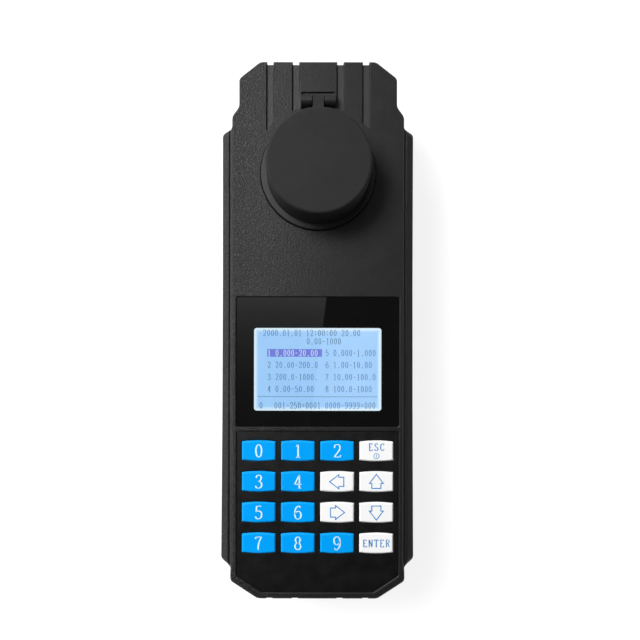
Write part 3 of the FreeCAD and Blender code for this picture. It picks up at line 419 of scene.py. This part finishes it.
key_names = [
    ["0", "1", "2", "esc"],
    ["3", "4", "left", "up"],
    ["5", "6", "right", "down"],
    ["7", "8", "9", "enter"],
]
white_keys = {"esc", "left", "up", "right", "down", "enter"}
finishes = {
    shell: ["front_shell", "rear_shell", "battery_door"],
    cap: ["cell_cap"],
    collar: ["cell_collar"],
    panel: ["keypad_panel"],
    rubber: ["seam_gasket", "rubber_feet", "cell_seal_ring"],
    black: ["cell_holder", "key_switches", "buzzer", "through_detector", "side_detector"],
    foam: ["cap_liner"],
    steel: ["case_screws", "holder_screws", "board_screws"],
    dark_steel: ["hinge_pin"],
    brass: ["lcd_spacers"],
    nickel: ["contact_plates", "contact_springs"],
    bezel: ["lcd_bezel"],
    mask: ["main_board", "led_board", "through_detector_board", "side_detector_board", "lcd_board"],
    chip: ["board_chips"],
    can: ["board_capacitors"],
    nylon: ["board_connectors", "lcd_backlight"],
    jacket: ["battery_cells"],
    lamp_resin: ["infrared_led"],
    pane: ["display_window"],
    lcd: ["lcd_glass"],
}
for material, names in finishes.items():
    for name in names:
        paint(name, material)
for row in key_names:
    for name in row:
        paint("key_" + name, white if name in white_keys else blue)


# Legends: broad-nib strokes, thick where they run down and thin where they run across.
# Their sizes and places are in millimetres.
def spline(points, steps):
    # Points along a smooth curve through the given ones
    padded = [points[0], *points, points[-1]]
    result = []
    for a, b, c, d in zip(padded, padded[1:], padded[2:], padded[3:]):
        for s in range(steps):
            t = s / steps
            result.append(tuple(
                0.5 * (2 * q + (r - p) * t + (2 * p - 5 * q + 4 * r - u) * t * t
                       + (3 * q - p - 3 * r + u) * t * t * t)
                for p, q, r, u in zip(a, b, c, d)))
    result.append(points[-1])
    return result


def ribbon(path, closed, thin, thick, verts, faces, z):
    # A flat stroke along a path
    count = len(path)
    first = len(verts)
    for i, (x, y) in enumerate(path):
        before = path[i - 1] if closed or i > 0 else path[i]
        after = path[(i + 1) % count] if closed or i < count - 1 else path[i]
        dx, dy = after[0] - before[0], after[1] - before[1]
        size = math.hypot(dx, dy) or 1.0
        dx, dy = dx / size, dy / size
        half = 0.5 * (thin + (thick - thin) * dy * dy)
        verts.append((x - dy * half, y + dx * half, z))
        verts.append((x + dy * half, y - dx * half, z))
    spans = count if closed else count - 1
    for i in range(spans):
        a = first + 2 * i
        b = first + 2 * ((i + 1) % count)
        faces.append((a, a + 1, b + 1, b))


def oval(cx, cy, rx, ry, count):
    turns = [2 * math.pi * i / count for i in range(count)]
    return [(cx + rx * math.cos(turn), cy + ry * math.sin(turn)) for turn in turns]


def bar(*points):
    return ("line", points)


def curve(*points):
    return ("curve", points)


def dot(*points):
    # A heavier stroke, for points and dashes
    return ("dot", points)


# Strokes of each character, in a box 0.6 wide and 1 high; the nine is the six turned over
six = [(0.50, 0.87), (0.38, 0.99), (0.22, 0.92), (0.09, 0.68), (0.07, 0.35), (0.14, 0.08), (0.31, 0.0),
       (0.48, 0.08), (0.54, 0.30), (0.48, 0.52), (0.32, 0.60), (0.16, 0.53), (0.08, 0.38)]
glyphs = {
    " ": [],
    ".": [dot((0.3, 0.0), (0.3, 0.14))],
    ":": [dot((0.3, 0.16), (0.3, 0.30)), dot((0.3, 0.64), (0.3, 0.78))],
    "-": [dot((0.1, 0.48), (0.5, 0.48))],
    "=": [dot((0.1, 0.36), (0.5, 0.36)), dot((0.1, 0.62), (0.5, 0.62))],
    "0": [("oval", (0.3, 0.5, 0.22, 0.48))],
    "1": [bar((0.31, 0.98), (0.31, 0.0)), bar((0.15, 0.84), (0.31, 0.98)), bar((0.15, 0.0), (0.47, 0.0))],
    "2": [curve((0.09, 0.74), (0.13, 0.93), (0.30, 1.0), (0.47, 0.93), (0.51, 0.74), (0.42, 0.5),
                (0.22, 0.24), (0.07, 0.03)),
          bar((0.07, 0.03), (0.52, 0.03)), bar((0.52, 0.03), (0.56, 0.17))],
    "3": [curve((0.10, 0.80), (0.16, 0.95), (0.30, 1.0), (0.45, 0.94), (0.49, 0.77), (0.42, 0.60),
                (0.25, 0.53)),
          curve((0.25, 0.53), (0.45, 0.47), (0.53, 0.28), (0.46, 0.07), (0.28, 0.0), (0.12, 0.05),
                (0.06, 0.18))],
    "4": [bar((0.40, 1.0), (0.05, 0.30)), bar((0.05, 0.30), (0.57, 0.30)), bar((0.41, 1.0), (0.41, 0.0)),
          bar((0.28, 0.0), (0.54, 0.0))],
    "5": [bar((0.14, 0.98), (0.50, 0.98)), bar((0.15, 0.98), (0.11, 0.54)),
          curve((0.11, 0.54), (0.28, 0.62), (0.46, 0.55), (0.53, 0.32), (0.45, 0.08), (0.27, 0.0),
                (0.12, 0.05), (0.06, 0.18))],
    "6": [curve(*six)],
    "7": [bar((0.07, 0.82), (0.09, 0.98)), bar((0.09, 0.98), (0.54, 0.98)),
          curve((0.54, 0.98), (0.38, 0.70), (0.29, 0.38), (0.26, 0.0))],
    "8": [("oval", (0.30, 0.76, 0.18, 0.23)), ("oval", (0.30, 0.27, 0.22, 0.26))],
    "9": [curve(*[(0.6 - x, 1.0 - y) for x, y in six])],
    "E": [bar((0.14, 1.0), (0.14, 0.0)), bar((0.04, 1.0), (0.5, 1.0)), bar((0.5, 1.0), (0.51, 0.86)),
          bar((0.14, 0.52), (0.38, 0.52)), bar((0.04, 0.0), (0.52, 0.0)), bar((0.52, 0.0), (0.55, 0.16))],
    "S": [curve((0.49, 0.80), (0.42, 0.97), (0.28, 1.0), (0.12, 0.92), (0.10, 0.73), (0.24, 0.57),
                (0.42, 0.44), (0.52, 0.26), (0.45, 0.06), (0.28, 0.0), (0.12, 0.05), (0.07, 0.22))],
    "C": [curve((0.54, 0.76), (0.47, 0.95), (0.32, 1.0), (0.14, 0.86), (0.07, 0.5), (0.14, 0.14), (0.32, 0.0),
                (0.48, 0.06), (0.55, 0.24))],
    "N": [bar((0.10, 1.0), (0.10, 0.0)), bar((0.10, 1.0), (0.50, 0.0)), bar((0.50, 0.0), (0.50, 1.0)),
          bar((0.02, 1.0), (0.12, 1.0)), bar((0.02, 0.0), (0.18, 0.0)), bar((0.42, 1.0), (0.58, 1.0))],
    "T": [bar((0.30, 1.0), (0.30, 0.0)), bar((0.04, 1.0), (0.56, 1.0)), bar((0.04, 1.0), (0.03, 0.84)),
          bar((0.56, 1.0), (0.57, 0.84)), bar((0.2, 0.0), (0.4, 0.0))],
    "R": [bar((0.13, 1.0), (0.13, 0.0)), bar((0.04, 0.0), (0.22, 0.0)), bar((0.04, 1.0), (0.30, 1.0)),
          curve((0.30, 1.0), (0.46, 0.94), (0.50, 0.77), (0.44, 0.60), (0.28, 0.52), (0.13, 0.52)),
          bar((0.30, 0.52), (0.54, 0.0))],
}


letter_width = 0.6
dot_weight = 1.6
curve_steps = 8


def word(text, cx, cy, height, stretch, gap, thin, thick, verts, faces, z, steps=curve_steps):
    # A row of characters centred on a point
    advance = letter_width * height * stretch + gap
    x0 = cx - (advance * len(text) - gap) / 2.0
    for i, letter in enumerate(text):
        ox = x0 + i * advance
        oy = cy - height / 2.0

        def place(p):
            return ox + p[0] * height * stretch, oy + p[1] * height

        for kind, data in glyphs[letter]:
            if kind == "oval":
                path = [place(p) for p in oval(*data, 3 * steps + 4)]
                ribbon(path, True, thin, thick, verts, faces, z)
                continue
            path = [place(p) for p in data]
            weight = dot_weight if kind == "dot" else 1.0
            if kind == "curve":
                path = spline(path, steps)
            ribbon(path, False, weight * thin, weight * thick, verts, faces, z)


arrow_points = [(0.0, 3.3), (3.05, -0.7), (2.0, -0.7), (2.0, -2.9), (-2.0, -2.9), (-2.0, -0.7), (-3.05, -0.7)]
arrow_turns = {"up": 0, "left": 90, "down": 180, "right": 270}


def arrow(direction):
    # Outline of a block arrow, tip first, drawn pointing up and then turned
    turn = math.radians(arrow_turns[direction])
    c, s = math.cos(turn), math.sin(turn)
    return [(x * c - y * s, x * s + y * c) for x, y in arrow_points]


def outline(points, width, verts, faces, z):
    # Closed line of one width with mitred corners
    count = len(points)
    first = len(verts)
    area = sum(points[i - 1][0] * points[i][1] - points[i][0] * points[i - 1][1] for i in range(count))
    side = 1.0 if area > 0 else -1.0
    for i in range(count):
        a, b, c = Vector(points[i - 1]), Vector(points[i]), Vector(points[(i + 1) % count])
        u, v = (b - a).normalized(), (c - b).normalized()
        nu, nv = Vector((u.y, -u.x)) * side, Vector((v.y, -v.x)) * side
        mid = (nu + nv) / (1.0 + nu.dot(nv)) * (width / 2.0)
        verts.append((b.x + mid.x, b.y + mid.y, z))
        verts.append((b.x - mid.x, b.y - mid.y, z))
    for i in range(count):
        p, q = first + 2 * i, first + 2 * ((i + 1) % count)
        faces.append((p, p + 1, q + 1, q))


def piece(name, verts, faces, material, body):
    # A flat print of its own, riding on a body
    mesh = bpy.data.meshes.new(name)
    mesh.from_pydata([(x * MM, y * MM, z * MM) for x, y, z in verts], [], faces)
    mesh.update()
    made = bpy.data.objects.new(name, mesh)
    scene.collection.objects.link(made)
    mesh.materials.append(material)
    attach(made, body)


legend_white = surface("legend_white", (0.74, 0.97, 0.97), 0.5, grain=5200.0, depth=0.000004, mottle=0.01,
                       wear_and_highlight=0.0, specular=0.12)
legend_blue = surface("legend_blue", (0.005, 0.24, 0.62), 0.5, grain=5200.0, depth=0.000004, mottle=0.03,
                      wear_and_highlight=0.0, specular=0.12)

# Sizes of the legends; each pen is its thin and its thick stroke
legend_lift = 0.03
digit_height = 5.7
digit_pen = (0.32, 0.62)
word_height = 3.1
esc_rise = 1.7
esc_stretch = 0.95
esc_gap = 0.75
esc_pen = (0.26, 0.46)
enter_gap = 0.62
enter_pen = (0.25, 0.45)
switch_drop = 2.2
switch_corners = 28
switch_radius = 1.15
switch_pen = 0.28
switch_bar = 0.7
switch_bar_pen = (0.22, 0.26)
arrow_pen = 0.42
for row in key_names:
    for name in row:
        low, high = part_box("key_" + name)
        cx, cy = (value / MM for value in centre_of(low, high)[:2])
        z = high[2] / MM + legend_lift
        verts, faces = [], []
        if name in arrow_turns:
            outline([(cx + x, cy + y) for x, y in arrow(name)], arrow_pen, verts, faces, z)
        elif name == "esc":
            word("ESC", cx, cy + esc_rise, word_height, esc_stretch, esc_gap, *esc_pen, verts, faces, z)
            low_y = cy - switch_drop
            circle = oval(cx, low_y, switch_radius, switch_radius, switch_corners)
            ribbon(circle, True, switch_pen, switch_pen, verts, faces, z)
            stroke = [(cx, low_y + switch_bar), (cx, low_y - switch_bar)]
            ribbon(stroke, False, *switch_bar_pen, verts, faces, z)
        elif name == "enter":
            word("ENTER", cx, cy, word_height, 1.0, enter_gap, *enter_pen, verts, faces, z)
        else:
            word(name, cx, cy, digit_height, 1.0, 0.0, *digit_pen, verts, faces, z)
        finish = legend_blue if name in white_keys else legend_white
        piece("legend_" + name, verts, faces, finish, "button_" + name)


# Display content: a clock, plain measuring ranges on numbered lines, and counts.
# Sizes and places are in millimetres, from the display's upper left corner.
def flat_material(name, colour, strength):
    g = new_graph(name)
    glow = g.node("ShaderNodeEmission", Strength=strength)
    g.link(g.clouds(900.0, 1.0, 0.5, tint(colour, 0.94), tint(colour, 1.04)), glow.inputs["Color"])
    return g.finish(glow.outputs[0])


ink = flat_material("lcd_ink", (0.09, 0.20, 0.42), 0.9)
bright = flat_material("lcd_highlight_text", (0.75, 0.86, 1.0), 0.95)
marked = flat_material("lcd_highlight", (0.17, 0.23, 0.80), 0.95)
lcd_left, lcd_right = lcd_low[0] / MM, lcd_high[0] / MM
lcd_head = lcd_high[1] / MM
print_lift = 0.04
lcd_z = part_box("lcd_glass")[1][2] / MM + print_lift
bright_lift = 0.03
text_height = 2.75
text_stretch = 0.78
text_pitch = 1.73
text_pen = (0.17, 0.29)
text_steps = 3
first_row = 11.0
row_pitch = 5.31
last_row = 34.2
left_column = 5.8
right_column = 31.4
head_lines = [
    ("lcd_clock", "2000.01.01 12:00:00 20.00", 3.8, 2.2),
    ("lcd_range", "0.00-1000", 23.0, 5.85),
]
foot_lines = [
    ("lcd_count", "001-250=0001 0000-9999=000", 8.8, last_row),
    ("lcd_state", "0", 2.2, last_row),
]
menu = [
    ("1 0.000-20.00", "5 0.000-1.000"),
    ("2 20.00-200.0", "6 1.00-10.00"),
    ("3 200.0-1000.", "7 10.00-100.0"),
    ("4 0.00-50.00", "8 100.0-1000"),
]


def strip(name, x0, x1, y0, y1, material):
    piece(name, [(x0, y0, lcd_z), (x1, y0, lcd_z), (x1, y1, lcd_z), (x0, y1, lcd_z)], [(0, 1, 2, 3)],
          material, "body")


def display_line(name, text, left, down, material=ink, z=lcd_z):
    # One line of characters on a fixed pitch
    verts, faces = [], []
    x = lcd_left + left + len(text) * text_pitch / 2.0
    gap = text_pitch - letter_width * text_height * text_stretch
    word(text, x, lcd_head - down, text_height, text_stretch, gap, *text_pen, verts, faces, z, text_steps)
    piece(name, verts, faces, material, "body")


for line in head_lines:
    display_line(*line)
for i, (left_text, right_text) in enumerate(menu):
    down = first_row + i * row_pitch
    if i == 0:
        display_line("lcd_left_0", left_text, left_column, down, bright, lcd_z + bright_lift)
    else:
        display_line("lcd_left_" + str(i), left_text, left_column, down)
    display_line("lcd_right_" + str(i), right_text, right_column, down)

# Bar behind the marked line, and rule above the counts
bar_letters = 14.0
bar_above = 1.7
bar_height = 3.4
bar_head = lcd_head - first_row + bar_above
bar_left = lcd_left + left_column
strip("lcd_bar", bar_left, bar_left + bar_letters * text_pitch, bar_head - bar_height, bar_head, marked)
rule_down = 30.35
rule_y = lcd_head - rule_down
rule_margin = 1.7
rule_half = 0.12
strip("lcd_rule", lcd_left + rule_margin, lcd_right - rule_margin, rule_y - rule_half, rule_y + rule_half,
      ink)
for line in foot_lines:
    display_line(*line)


# Stage and light
floor_half = 3.0
floor_seen = 0.84
floor_mirrored = 0.62
paper = (12.0, 2.0, 0.5)
paper_dark = (0.30, 0.30, 0.30)
paper_light = (0.32, 0.32, 0.32)


def stage_floor():
    # Pale paper: it glows for the camera and in mirrors, and still takes the object's shadow
    mesh = bpy.data.meshes.new("floor")
    corners = [(-floor_half, -floor_half, 0), (floor_half, -floor_half, 0), (floor_half, floor_half, 0),
               (-floor_half, floor_half, 0)]
    mesh.from_pydata(corners, [], [(0, 1, 2, 3)])
    floor = bpy.data.objects.new("floor", mesh)
    scene.collection.objects.link(floor)
    g = new_graph("floor_paper")
    base = g.node("ShaderNodeBsdfPrincipled", Roughness=0.9)
    g.link(g.clouds(*paper, paper_dark, paper_light), base.inputs["Base Color"])
    path = g.node("ShaderNodeLightPath")
    mirrored = g.math("MAXIMUM", path.outputs["Is Glossy Ray"], path.outputs["Is Transmission Ray"])
    direct = g.math("MULTIPLY", path.outputs["Is Camera Ray"], floor_seen)
    glow = g.node("ShaderNodeEmission")
    g.link(g.math("MAXIMUM", direct, g.math("MULTIPLY", mirrored, floor_mirrored)), glow.inputs["Strength"])
    mesh.materials.append(g.finish(g.add(base.outputs[0], glow.outputs[0])))


stage_floor()


def soft_light(name, place, target, side, radiance):
    # A square light that glows with the stated radiance, aimed at a point
    data = bpy.data.lights.new(name, "AREA")
    data.shape = "SQUARE"
    data.size = side
    data.energy = radiance * math.pi * side * side
    made = bpy.data.objects.new(name, data)
    made.location = place
    made.rotation_euler = (Vector(target) - Vector(place)).to_track_quat("-Z", "Y").to_euler()
    scene.collection.objects.link(made)


soft_light("key_upper_left", (-0.56, 0.45, 0.97), (0.0, 0.02, 0.03), 0.45, 20.5)
soft_light("fill_right", (0.95, -0.1, 0.45), (0.0, 0.0, 0.03), 0.7, 0.15)

# Card: its height and reach, two points of its slanted right edge, and how its glow changes
card_z = 0.9475
card_head, card_foot, card_left = 0.75, -0.45, -0.85
card_edge = [(34.5 * MM, 74.6 * MM), (27.1 * MM, 15.7 * MM)]
card_growth = 2.718
card_middle, card_length = 0.046, 0.095
card_most = 1.35
card_near = 0.5
card_far = 0.9
card_far_reach = (-0.16, -0.45)
card_far_fade = (-0.40, 0.25, 0.2, 1.0)


def reflector_card():
    # Glowing card over the meter's left half, seen in the glossy window; it fades toward the foot
    # and brightens toward the far left
    slope = (card_edge[0][0] - card_edge[1][0]) / (card_edge[0][1] - card_edge[1][1])

    def edge_x(y):
        return card_edge[0][0] + (y - card_edge[0][1]) * slope

    mesh = bpy.data.meshes.new("card")
    corners = [(card_left, card_foot, card_z), (card_left, card_head, card_z),
               (edge_x(card_head), card_head, card_z), (edge_x(card_foot), card_foot, card_z)]
    mesh.from_pydata(corners, [], [(0, 1, 2, 3)])
    card = bpy.data.objects.new("card", mesh)
    scene.collection.objects.link(card)
    card.visible_camera = False
    card.visible_shadow = False
    g = new_graph("card_glow")
    place = g.axes()
    along = g.math("DIVIDE", g.math("SUBTRACT", place[1], card_middle), card_length)
    near = g.math("MULTIPLY", g.math("MINIMUM", g.math("POWER", card_growth, along), card_most), card_near)
    far = g.math("MULTIPLY", g.spread(place[0], *card_far_reach, 0.0, card_far),
                 g.spread(place[1], *card_far_fade))
    glow = g.node("ShaderNodeEmission")
    g.link(g.math("ADD", near, far), glow.inputs["Strength"])
    mesh.materials.append(g.finish(glow.outputs[0]))


reflector_card()


# Sky: its grey low down and overhead, and its strength from left to right and from foot to head
sky_greys = [(0.12, (0.8, 0.8, 0.8)), (0.85, (0.06, 0.06, 0.06))]
sky_side = (-1.0, 1.0, 2.0, 0.15)
sky_along = (-0.6, 0.3, 0.2, 1.0)


def studio_world():
    # Bright low down and to the left, dark overhead, to the right and toward the foot.
    # The camera, and what shows through clear pieces, meets a plain white backdrop instead.
    world = bpy.data.worlds.new("studio")
    scene.world = world
    g = Graph(world, "ShaderNodeOutputWorld", "Generated")
    way = g.axes()
    soft = g.node("ShaderNodeBackground")
    g.link(g.ramp(way[2], sky_greys), soft.inputs["Color"])
    strength = g.math("MULTIPLY", g.spread(way[0], *sky_side), g.spread(way[1], *sky_along))
    g.link(strength, soft.inputs["Strength"])
    white_back = g.node("ShaderNodeBackground", Color=(1, 1, 1, 1))
    path = g.node("ShaderNodeLightPath")
    seen = g.math("MAXIMUM", path.outputs["Is Camera Ray"], path.outputs["Is Transmission Ray"])
    g.finish(g.blend(seen, soft.outputs[0], white_back.outputs[0]))


studio_world()

# Camera square to the face, at the photograph's distance; millimetres, degrees and pixels
photo_width = 640.0
face_height = 47.5
camera_distance = 270.0
camera_x, camera_y = -5.4, -3.4
camera_turn = 0.11
shift_right, shift_up = 14.5, 18.0
camera_data = bpy.data.cameras.new("camera")
camera_data.sensor_width = 36.0
camera_data.lens = 34.6
camera_data.shift_x = shift_right / photo_width
camera_data.shift_y = shift_up / photo_width
camera_data.clip_start = 0.01
camera = bpy.data.objects.new("camera", camera_data)
camera.location = (camera_x * MM, camera_y * MM, (face_height + camera_distance) * MM)
camera.rotation_euler = (0.0, 0.0, math.radians(camera_turn))
scene.collection.objects.link(camera)
scene.camera = camera
